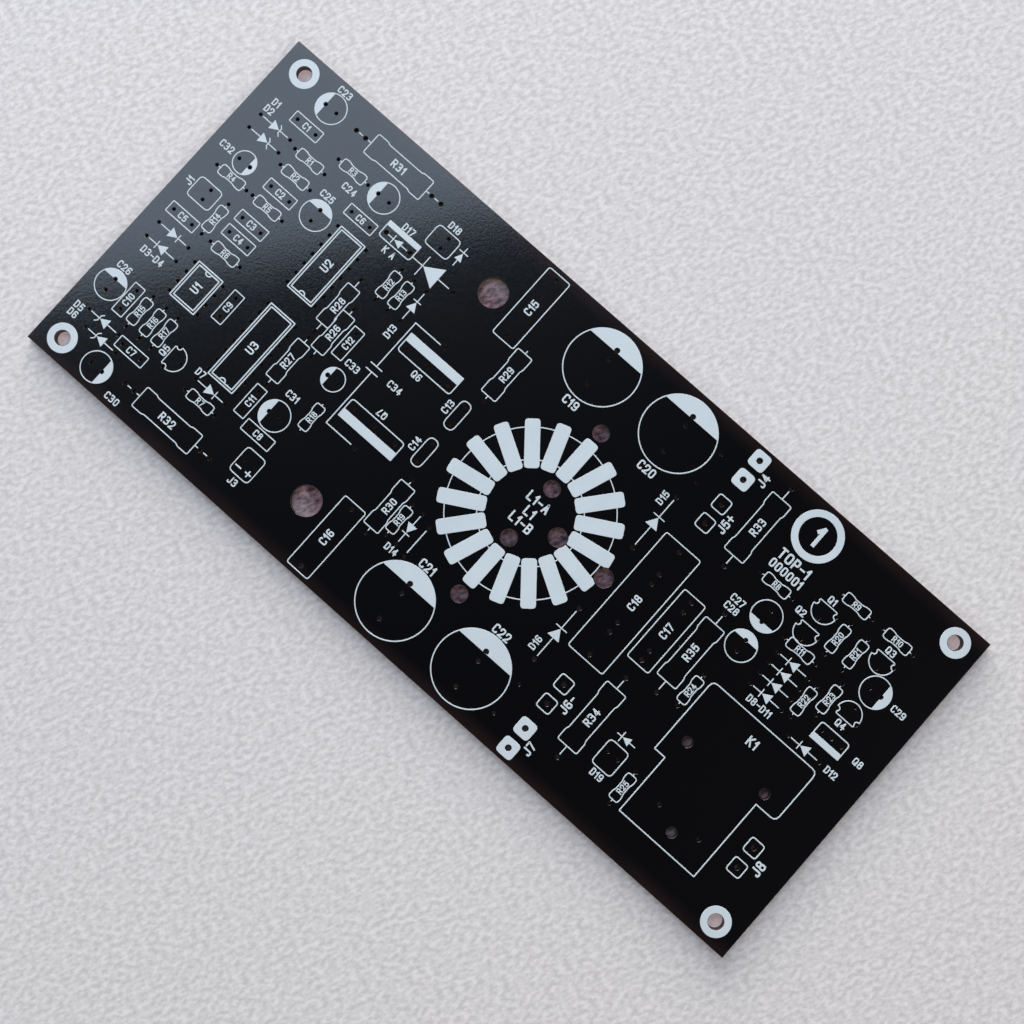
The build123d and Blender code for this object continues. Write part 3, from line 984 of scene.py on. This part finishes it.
# Chips: the place as a share, the turn and the height
chips = [((-0.3985, -0.1338), 0, 8.9), ((-0.3085, 0.1198), 180, 16.3), ((-0.3088, -0.1547), 180, 18.9)]
symbols += [mark for row in chips for mark in chip(*row)]
print(f"{len(chips)} chips")

# %% [markdown]
# ### Transistors and plugs
# A small transistor has one flat side, and a plug is a box. A plain bow would carry the transistor's line over
# its outer lead holes, where no ink can lie, so the line steps round them.

# %% Transistors and plugs


def transistor(x, y, turn):
    """A straight back and a bow in one closed line, which steps round the inner side of the two outer pins.

    The bow is part of a circle, each step is part of a circle round a pin, and one half mirrors the other.
    """
    bow = arc(bow_radius, bow_start, math.pi - bow_start, 25) + (0, bow_top - bow_radius)
    away = bow[0] - outer_pin
    step = arc(pin_clearance, step_start, math.atan2(away[1], away[0]), 9)[:-1] + outer_pin
    side = np.concatenate([[(back_length / 2 - back_corner, 0), (back_length / 2, back_corner)], step])
    loop = np.concatenate([side, bow, side[::-1] * (-1, 1)])
    return line(placed(loop, x, y, turn), symbol_width, True)


back_length, back_corner = 4.4, 0.14
bow_radius, bow_top, bow_start = 2.72, 4.02, math.radians(2)
outer_pin, pin_clearance, step_start = np.array([2.54, 0.8]), 0.56, math.radians(235)
for turn, shares in transistor_shares_by_turn.items():
    symbols += [transistor(x, y, turn) for x, y in on_board(shares)]

# Plugs: the place as a share, then width and height
plugs = [
    ((-0.4621, 0.0553), 5.8, 4.85), ((-0.2312, 0.3565), 5.93, 4.85),
    ((-0.2263, -0.3759), 4.9, 5.92), ((0.2735, -0.3206), 4.9, 5.93),
]
plug_corner = 0.9
symbols += [line(box(w, h, plug_corner) + on_board(share), symbol_width, True) for share, w, h in plugs]
print(f"{len(plugs)} plugs, {len(symbols)} parts of ink")

# %% [markdown]
# ### Signs, plates and coil circles
# The last symbols are a few single lines: the signs of the supply plug, the two plates of a capacitor on their
# bracket, a wire link, and two circles through the star of the coil. Each is a path for the line tool.

# %% Signs, plates and coil circles
# Signs of the supply plug: a minus and a plus, made of three short bars
minus_place, plus_place = on_board([(-0.233, -0.3931), (-0.2195, -0.3919)])
sign_bar, sign_width = np.array([(-0.75, 0), (0.75, 0)]), 0.34
symbols += [line(sign_bar + place, sign_width) for place in (minus_place, plus_place)]
symbols.append(line(placed(sign_bar, *plus_place, 90), sign_width))

# Supply capacitor: two plates in the middle of a bracket between its lead holes
plate_x, plate_y, plate_gap, plate_half = -0.1938 * board_length, 0.54, 0.73, 1.55
bracket_x, bracket_top, bracket_bottom = -0.1575 * board_length, 13.1, -13.8
plate = np.array([(plate_x - plate_half, plate_y), (plate_x + plate_half, plate_y)])
symbols += [line(plate + (0, gap), line_width) for gap in (plate_gap, -plate_gap)]
for gap, end in ((plate_gap, bracket_top), (-plate_gap, bracket_bottom)):
    symbols.append(line([(plate_x, plate_y + gap), (plate_x, end), (bracket_x, end)], line_width))

# Wire link: one straight line between its holes
link_half = 2.9
symbols.append(line(on_board((-0.0345, -0.241)) + [(0, -link_half), (0, link_half)], line_width))

# Output coil: two thin circles that join the turns
coil_circle_radii = 10.75, 17.3
coil_circles = [circle(coil_x, coil_y, radius, steps=120) for radius in coil_circle_radii]
symbols += [line(path, symbol_width, True) for path in coil_circles]
symbol_print = make_piece("symbol_print", *gather(symbols), [ink_finish])

# %% [markdown]
# ## Designators
# A board names its parts by a letter and a running number: R for resistors, C for capacitors, D for diodes,
# Q for transistors, U for chips, J for plugs, L for the coil and K for the relay. Blender's own face has a
# bare stroke for a one, so these characters are drawn here, each as a few lines in a unit box with its
# corners rounded, and inked by the same line tool as the outlines.

# %% Characters
# Each stroke is the rounding of its corners, as a share of the box's width, and its points
STEM = [(0, 0), (0, 1)]
characters = {
    "0": [(0.5, [(0, 0), (1, 0), (1, 1), (0, 1), (0, 0)])],
    "1": [(0, [(0.15, 0.74), (0.5, 1)]), (0, [(0.55, 1), (0.55, 0)])],
    "2": [(0.45, [(0, 0.72), (0, 1), (1, 1), (1, 0.55), (0.05, 0)]), (0, [(0, 0), (1, 0)])],
    "3": [(0.4, [(0, 0.92), (0, 1), (0.95, 1), (0.95, 0.53), (0.4, 0.53)]),
          (0.4, [(0.4, 0.53), (1, 0.53), (1, 0), (0, 0), (0, 0.08)])],
    "4": [(0, [(0.75, 0), (0.75, 1)]), (0.02, [(0.7, 1), (0, 0.28), (1.1, 0.28)])],
    "5": [(0.02, [(0.95, 1), (0.1, 1), (0.04, 0.5)]),
          (0.4, [(0.04, 0.52), (0.5, 0.62), (1, 0.6), (1, 0), (0, 0), (0, 0.08)])],
    "6": [(0.45, [(0.95, 0.92), (0.95, 1), (0, 1), (0, 0.3)]),
          (0.45, [(0, 0), (1, 0), (1, 0.57), (0, 0.57), (0, 0)])],
    "7": [(0.02, [(0, 1), (1, 1), (0.35, 0)])],
    "8": [(0.4, [(0.06, 0.53), (0.94, 0.53), (0.94, 1), (0.06, 1), (0.06, 0.53)]),
          (0.4, [(0, 0), (1, 0), (1, 0.53), (0, 0.53), (0, 0)])],
    "9": [(0.45, [(0, 0.43), (1, 0.43), (1, 1), (0, 1), (0, 0.43)]),
          (0.45, [(1, 0.7), (1, 0), (0.05, 0), (0.05, 0.08)])],
    "A": [(0.02, [(0, 0), (0.5, 1), (1, 0)]), (0, [(0.2, 0.3), (0.8, 0.3)])],
    "B": [(0, STEM), (0.3, [(0, 1), (0.95, 1), (0.95, 0.53), (0, 0.53)]),
          (0.3, [(0, 0.53), (1, 0.53), (1, 0), (0, 0)])],
    "C": [(0.45, [(1, 0.84), (1, 1), (0, 1), (0, 0), (1, 0), (1, 0.16)])],
    "D": [(0, STEM), (0.5, [(0, 1), (1, 1), (1, 0), (0, 0)])],
    "J": [(0.45, [(0.9, 1), (0.9, 0), (0, 0), (0, 0.22)])],
    "K": [(0, STEM), (0, [(1, 1), (0, 0.4)]), (0, [(0.32, 0.6), (1.05, 0)])],
    "L": [(0.02, [(0, 1), (0, 0), (0.95, 0)])],
    "O": [(0.5, [(0, 0), (1.1, 0), (1.1, 1), (0, 1), (0, 0)])],
    "P": [(0, STEM), (0.35, [(0, 1), (1, 1), (1, 0.43), (0, 0.43)])],
    "Q": [(0.5, [(0, 0), (1.1, 0), (1.1, 1), (0, 1), (0, 0)]), (0, [(0.7, 0.25), (1.1, 0)])],
    "R": [(0, STEM), (0.35, [(0, 1), (1, 1), (1, 0.46), (0, 0.46)]), (0, [(0.5, 0.46), (1.05, 0)])],
    "T": [(0, [(0, 1), (1, 1)]), (0, [(0.5, 1), (0.5, 0)])],
    "U": [(0.45, [(0, 1), (0, 0), (1, 0), (1, 1)])],
    "+": [(0, [(0, 0.5), (1, 0.5)]), (0, [(0.5, 0.12), (0.5, 0.88)])],
    "-": [(0, [(0.1, 0.5), (0.9, 0.5)])],
    " ": [],
}
print("characters:", "".join(characters))

# %% [markdown]
# ### Setting letters
# A name is set as a printer sets type: each character takes its own width, a small gap follows, and the whole
# is centred on its place. Text objects would do the setting too, but they would have to be made meshes, and
# their strokes would not keep the even width of a pen.

# %% Letters


def letters(text, share, turn, height):
    """Characters set side by side about a place, as lines of ink.

    A character's unit box is smaller than the letter by one line's width. Each takes as much room as its
    strokes reach, plus a gap. A stroke that ends where it began is a closed loop. Any other is drawn longer by
    half a line's width at both ends, which fills the corners where strokes meet.
    """
    x, y = on_board(share)[0]
    width = letter_weight * height
    cell = np.array([letter_width * height - width, height - width])
    gap = width + letter_gap * height
    spans = [[px for _, points in characters[character] for px, _ in points] for character in text]
    reaches = [cell[0] * np.array(span or [0, blank_width]) for span in spans]
    ends = np.cumsum([np.ptp(reach) + gap for reach in reaches])
    lefts = ends - (ends[-1] + gap) / 2 - [reach.max() for reach in reaches]
    marks = []
    for character, left in zip(text, lefts):
        for corner, points in characters[character]:
            path = np.array(points) * cell + (left, -cell[1] / 2)
            loop = points[0] == points[-1]
            if loop:
                path = rounded(path[:-1], corner * cell[0])
            else:
                path = rounded(path, corner * cell[0], closed=False) if len(points) > 2 else path
                tips = path[[0, -1]] - path[[1, -2]]
                path[[0, -1]] += tips / np.linalg.norm(tips, axis=1, keepdims=True) * width / 2
            marks.append(line(placed(path, x, y, turn), width, loop))
    return marks


letter_weight, letter_width, letter_gap, blank_width = 0.18, 0.6, 0.13, 0.4
name_height = 1.6
print(f"strokes {letter_weight * name_height:.2f} mm wide at a height of {name_height} mm")

# %% [markdown]
# ### Names
# Where a part has room, its name stands inside the outline, and the numbers run on from list to list. Most of
# those names need no place of their own. Where there is no room, the name stands beside the part, in a table
# with its place. Terminals, coil and relay have larger names, and a number in a ring marks the board's side.

# %% Names inside their parts


def numbered(letter, first, shares, turn, height):
    """Letter and running number in the middle of each place of a list."""
    marks = []
    for number, share in enumerate(shares, first):
        marks += letters(f"{letter}{number}", share, turn, height)
    return marks


# The letter, the first number, the places, the turn and the height
inside = [
    ("R", 1, flat_resistor_shares, 0, 1.3),
    ("R", 12, upright_resistor_shares, 90, 1.3),
    ("R", 26, half_watt_shares, 90, 1.6),
    ("R", 28, spread_half_watt_shares + tall_half_watt_shares, 90, 1.6),
    ("R", 31, flat_two_watt_shares, 0, 1.8),
    ("R", 33, upright_two_watt_shares, 90, 1.8),
    ("C", 1, flat_box_shares, 0, 1.5),
    ("C", 9, upright_box_shares, 90, 1.5),
    ("C", 15, film_shares + [large_film_share], 90, 1.8),
    ("U", 1, [(-0.3985, -0.135), (-0.3085, 0.121), (-0.3085, -0.1535)], 90, 1.9),
]
names = [mark for row in inside for mark in numbered(*row)]
print(f"{len(names)} strokes")

# %% Names beside their parts
# The text, its place as a share, and its turn
beside = [
    ("C23", (-0.422, 0.4773), 0), ("D1", (-0.471, 0.344), 0), ("D2", (-0.472, 0.3194), 0),
    ("C32", (-0.479, 0.181), 0), ("C24", (-0.3465, 0.3016), 0), ("C25", (-0.3592, 0.2525), 0),
    ("D17", (-0.2676, 0.3237), 0), ("K A", (-0.2676, 0.2482), 0), ("D18", (-0.231, 0.403), 0),
    ("D13", (-0.2086, 0.1032), 90), ("J1", (-0.4843, 0.0553), 90), ("D3-D4", (-0.458, -0.1474), 0),
    ("C33", (-0.2135, -0.0233), 0), ("C31", (-0.24, -0.1769), 0), ("C26", (-0.4721, -0.2138), 0),
    ("Q5", (-0.3781, -0.301), 90), ("D5", (-0.4805, -0.3587), 0), ("D6", (-0.4805, -0.3821), 0),
    ("C30", (-0.385, -0.476), 0), ("D7", (-0.3315, -0.2838), 0), ("J3", (-0.2268, -0.43), 0),
    ("Q6", (-0.1546, 0.0636), 0), ("Q7", (-0.1546, -0.0636), 180),
    ("C34", (-0.1635, 0.006), 0), ("C13", (-0.1068, 0.0577), 90), ("C14", (-0.1068, -0.0633), 90),
    ("D14", (-0.0496, -0.296), 0), ("D15", (0.1326, 0.2396), 90), ("D16", (0.1326, -0.2322), 90),
    ("C27", (0.2662, 0.172), 0), ("C28", (0.2662, 0.1474), 0), ("Q1", (0.3424, 0.3243), 0),
    ("Q2", (0.3241, 0.2543), 0), ("Q3", (0.4249, 0.3243), 0), ("Q4", (0.4343, 0.11), 0),
    ("C29", (0.4727, 0.2248), 0), ("Q8", (0.475, 0.067), 0), ("D8-D11", (0.3565, 0.0123), 0),
    ("D12", (0.46, 0.0061), 0), ("D19", (0.2743, -0.3728), 0),
]
for text, share, turn in beside:
    names += letters(text, share, turn, name_height)
print(f"{len(names)} strokes")

# %% Larger words and the side mark
side_mark_share = (0.2854, 0.4201)

# The text, its place as a share, its turn and its height
large = [
    ("J4", (0.2024, 0.435), 90, 2.0), ("J5+", (0.2024, 0.293), 90, 2.0), ("J6-", (0.2024, -0.293), 90, 2.0),
    ("J7", (0.2024, -0.435), 90, 2.0), ("J8", (0.468, -0.2838), 90, 2.2), ("K1", (0.3768, -0.0651), 0, 2.1),
    ("L1-A", (0.0357, 0.0295), 0, 2.2), ("L1", (0.0357, -0.0037), 0, 2.2),
    ("L1-B", (0.0357, -0.0369), 0, 2.2), ("TOP-1", (0.2857, 0.3316), 0, 2.35),
    ("000001", (0.2857, 0.2995), 0, 2.0), ("1", side_mark_share, 0, 4.6),
    ("C19", (-0.01, 0.2666), 0, 2.0), ("C20", (0.0992, 0.2666), 0, 2.0), ("C21", (-0.0076, -0.2695), 0, 2.0),
    ("C22", (0.0992, -0.2695), 0, 2.0),
]
for text, share, turn, height in large:
    names += letters(text, share, turn, height)
side_ring_radius, side_ring_width = 4.65, 1.5
side_ring = circle(*on_board(side_mark_share)[0], side_ring_radius, steps=80)
names.append(line(side_ring, side_ring_width, True))
designator_print = make_piece("designator_print", *gather(names), [ink_finish])

# %% [markdown]
# ## Underside
# The leads are soldered from below, so each lead hole has a ring of tinned copper there. A flattened torus
# would do for one of them. Here all are made at once, each a low dome whose profile is carried round its hole
# like the bores, and kept clear of its neighbours. The screw holes and the two screwdriver holes have none.

# %% Solder pads
access_radius = 3.25
leads = ~(is_screw | np.isclose(hole_radii, access_radius, atol=drill_tolerance))
lead_middles, lead_radii = hole_middles[leads], hole_radii[leads]

# A pad is as wide as its hole asks, or a share of the way to the next hole where that is less
pad_growth, pad_ring, pad_room = 1.35, 0.42, 0.44
spans = np.linalg.norm(lead_middles[:, None] - lead_middles[None], axis=2)
np.fill_diagonal(spans, np.inf)
pad_radii = np.minimum(lead_radii * pad_growth + pad_ring, spans.min(axis=1) * pad_room)

# The dome's profile: shares of the way from the hole to the rim, and heights. Its root is sunk into the sheet.
dome_root = underside + 0.01
dome_shares = np.array([0, 0.3, 0.75, 1])
dome_heights = np.array([dome_root, 0.003, 0, dome_root])
pad_sides = 12
ring = (pad_radii - lead_radii - lip)[:, None]
pad_widths = (lead_radii + lip)[:, None] + ring * dome_shares
pad_profiles = np.stack([pad_widths, np.broadcast_to(dome_heights, pad_widths.shape)], axis=-1)
pad_points = rings(lead_middles, pad_profiles, pad_sides)
pad_faces = ring_faces(len(lead_radii), pad_sides, len(dome_shares), True)
make_piece("solder_pads", pad_points, pad_faces.tolist(), [solder_finish])

# %% [markdown]
# ## Floor
# The board lies on a plain pale sheet of foam, one large square. Fibres or bubbles could be modelled, but from
# here they are only a faint grain drawn out in one direction, so one stretched noise is enough. Through the
# holes one sees foam that lies in the board's own shade, lit only by what soaks in from the rim.

# %% Foam


def foam_sheet():
    """White foam: faintly grained, and rosy and dark below the board, where light only soaks in from the rim.

    The share of shade is the product, over both axes, of a ramp from the board's edge inwards. The product of
    what the two ramps leave is the light that soaks in from two sides at once, at a corner. It glows, on top
    of a weak glow that reaches everywhere.
    """
    material, tree, place = start_material("packing_foam")
    axes = add(tree, "ShaderNodeSeparateXYZ", {"Vector": place})
    ramps, gaps = [], []
    for axis, size in (("X", board_length), ("Y", board_width)):
        away = add(tree, "ShaderNodeMath", {0: axes.outputs[axis]}, operation="ABSOLUTE")
        ramps.append(add(tree, "ShaderNodeMapRange", {
            "Value": away.outputs[0],
            "From Min": (size / 2 - foam_shade_reach) * MILLIMETRE, "From Max": size / 2 * MILLIMETRE,
            "To Min": 1.0, "To Max": 0.0,
        }))
        below = add(tree, "ShaderNodeMath", {
            0: away.outputs[0], 1: (size / 2 - rim_inset) * MILLIMETRE,
        }, operation="LESS_THAN")
        gaps.append(add(tree, "ShaderNodeMath", {
            0: below.outputs[0], 1: ramps[-1].outputs[0],
        }, operation="SUBTRACT"))
    shade, corner = (
        add(tree, "ShaderNodeMath", {0: one.outputs[0], 1: other.outputs[0]}, operation="MULTIPLY")
        for one, other in (ramps, gaps)
    )
    glow = add(tree, "ShaderNodeMath", {
        0: corner.outputs[0], 1: foam_corner_glow, 2: foam_glow,
    }, operation="MULTIPLY_ADD")
    drawn = add(tree, "ShaderNodeMapping", {
        "Vector": place, "Rotation": (0, 0, foam_grain_angle), "Scale": (foam_grain_stretch, 1, 1),
    }, vector_type="TEXTURE")
    noise = add(tree, "ShaderNodeTexNoise", {
        "Vector": drawn.outputs[0], "Scale": per_metre(foam_grain_size), "Detail": 3.0,
    })
    grain = add(tree, "ShaderNodeMapRange", {
        "Value": noise.outputs["Fac"], "From Min": 0.34, "From Max": 0.66,
    })
    bright = add(tree, "ShaderNodeMix", {
        "Factor": grain.outputs[0], "A": colour("#C5C3C6"), "B": colour("#E2E0E3"),
    }, data_type="RGBA")
    dark = add(tree, "ShaderNodeMix", {
        "Factor": grain.outputs[0], "A": colour("#3F2731"), "B": colour("#B28F99"),
    }, data_type="RGBA")
    tone = add(tree, "ShaderNodeMix", {
        "Factor": shade.outputs[0], "A": bright.outputs["Result"], "B": dark.outputs["Result"],
    }, data_type="RGBA")
    shader = add(tree, "ShaderNodeBsdfPrincipled", {
        "Base Color": tone.outputs["Result"], "Emission Strength": glow.outputs[0],
    })
    shader.inputs["Emission Color"].default_value = colour("#EAC9C7")
    shader.inputs["Roughness"].default_value = 0.9
    return finish_material(material, shader)


foam_shade_reach = 14.0
foam_grain_size = 0.9
foam_grain_stretch = 1.55
foam_grain_angle = math.radians(66.5)
foam_corner_glow = 0.66
foam_glow = 0.012
foam_finish = foam_sheet()

# %% Floor
floor_size = 3000.0
floor_mesh = bpy.data.meshes.new("floor")
floor_corners = floor_size / 2 * MILLIMETRE * np.column_stack([CORNERS, np.zeros(4)])
floor_mesh.from_pydata(floor_corners.tolist(), [], [(0, 1, 2, 3)])
floor_mesh.materials.append(foam_finish)
floor = bpy.data.objects.new("floor", floor_mesh)
bpy.context.scene.collection.objects.link(floor)
print(f"floor {floor_size / 1000:.0f} m square")

# %% [markdown]
# ## Light
# Light on a glossy board is mostly about what the gloss mirrors. A picture of a room could light it from all
# sides, but panels can be placed one by one. One level panel hangs where the lacquer mirrors it into the
# camera, so it lays the grey sheen over one corner and ends in a soft edge. Two wide panels stand low on one
# side, one above the other, like a window and its bright sill. The lacquer mirrors them away from the camera,
# so the rest stays black, and their low light lays a soft shadow along the two edges that face away. Two weak
# panels on the other sides keep that shadow open.

# %% Light


def panel(name, middle, size, power, tint):
    """A rectangular light, with its middle at a place in metres, that faces the middle of the board."""
    data = bpy.data.lights.new(name, "AREA")
    data.shape = "RECTANGLE"
    data.size, data.size_y = size
    data.energy = power
    data.color = colour(tint)[:3]
    lamp = bpy.data.objects.new(name, data)
    lamp.location = middle
    lamp.rotation_euler = (-Vector(middle)).to_track_quat("-Z", "Y").to_euler()
    lamp.visible_camera = False
    bpy.context.scene.collection.objects.link(lamp)
    return lamp


# The sheen's rim on the lacquer sets where the near edge of its panel lies, and the angle of that edge
sheen_edge, sheen_height = Vector((-0.3176, 0.0824)), 0.70
sheen_angle, sheen_size = math.radians(52.3), (0.9, 0.35)
sheen_middle = sheen_edge + Vector((-math.sin(sheen_angle), math.cos(sheen_angle))) * sheen_size[1] / 2
sheen = panel("sheen_panel", (*sheen_middle, sheen_height), sheen_size, 3.3, "#D3E8FF")
sheen.rotation_euler = (0, 0, sheen_angle)

# The other panels: middle and size in metres, power in watts, tint
panels = {
    "window_panel": ((-1.41, 1.41, 0.80), (2.8, 0.75), 40.0, "#FFFBF4"),
    "sill_panel": ((-1.41, 1.41, 0.27), (2.8, 0.32), 79.0, "#FFFBF4"),
    "room_panel": ((1.1, 0.25, 0.7), (0.9, 0.6), 5.5, "#FFFAF2"),
    "fill_panel": ((0.55, -1.05, 0.7), (0.9, 0.6), 5.2, "#FFFAF4"),
}
for name, settings in panels.items():
    panel(name, *settings)
world = bpy.data.worlds.new("studio")
world.use_nodes = True
background = world.node_tree.nodes["Background"]
background.inputs["Color"].default_value = colour("#C8CCD6")
background.inputs["Strength"].default_value = 0.06
bpy.context.scene.world = world
bpy.context.scene.view_settings.view_transform = "Standard"
print(f"{len(panels) + 1} light panels")
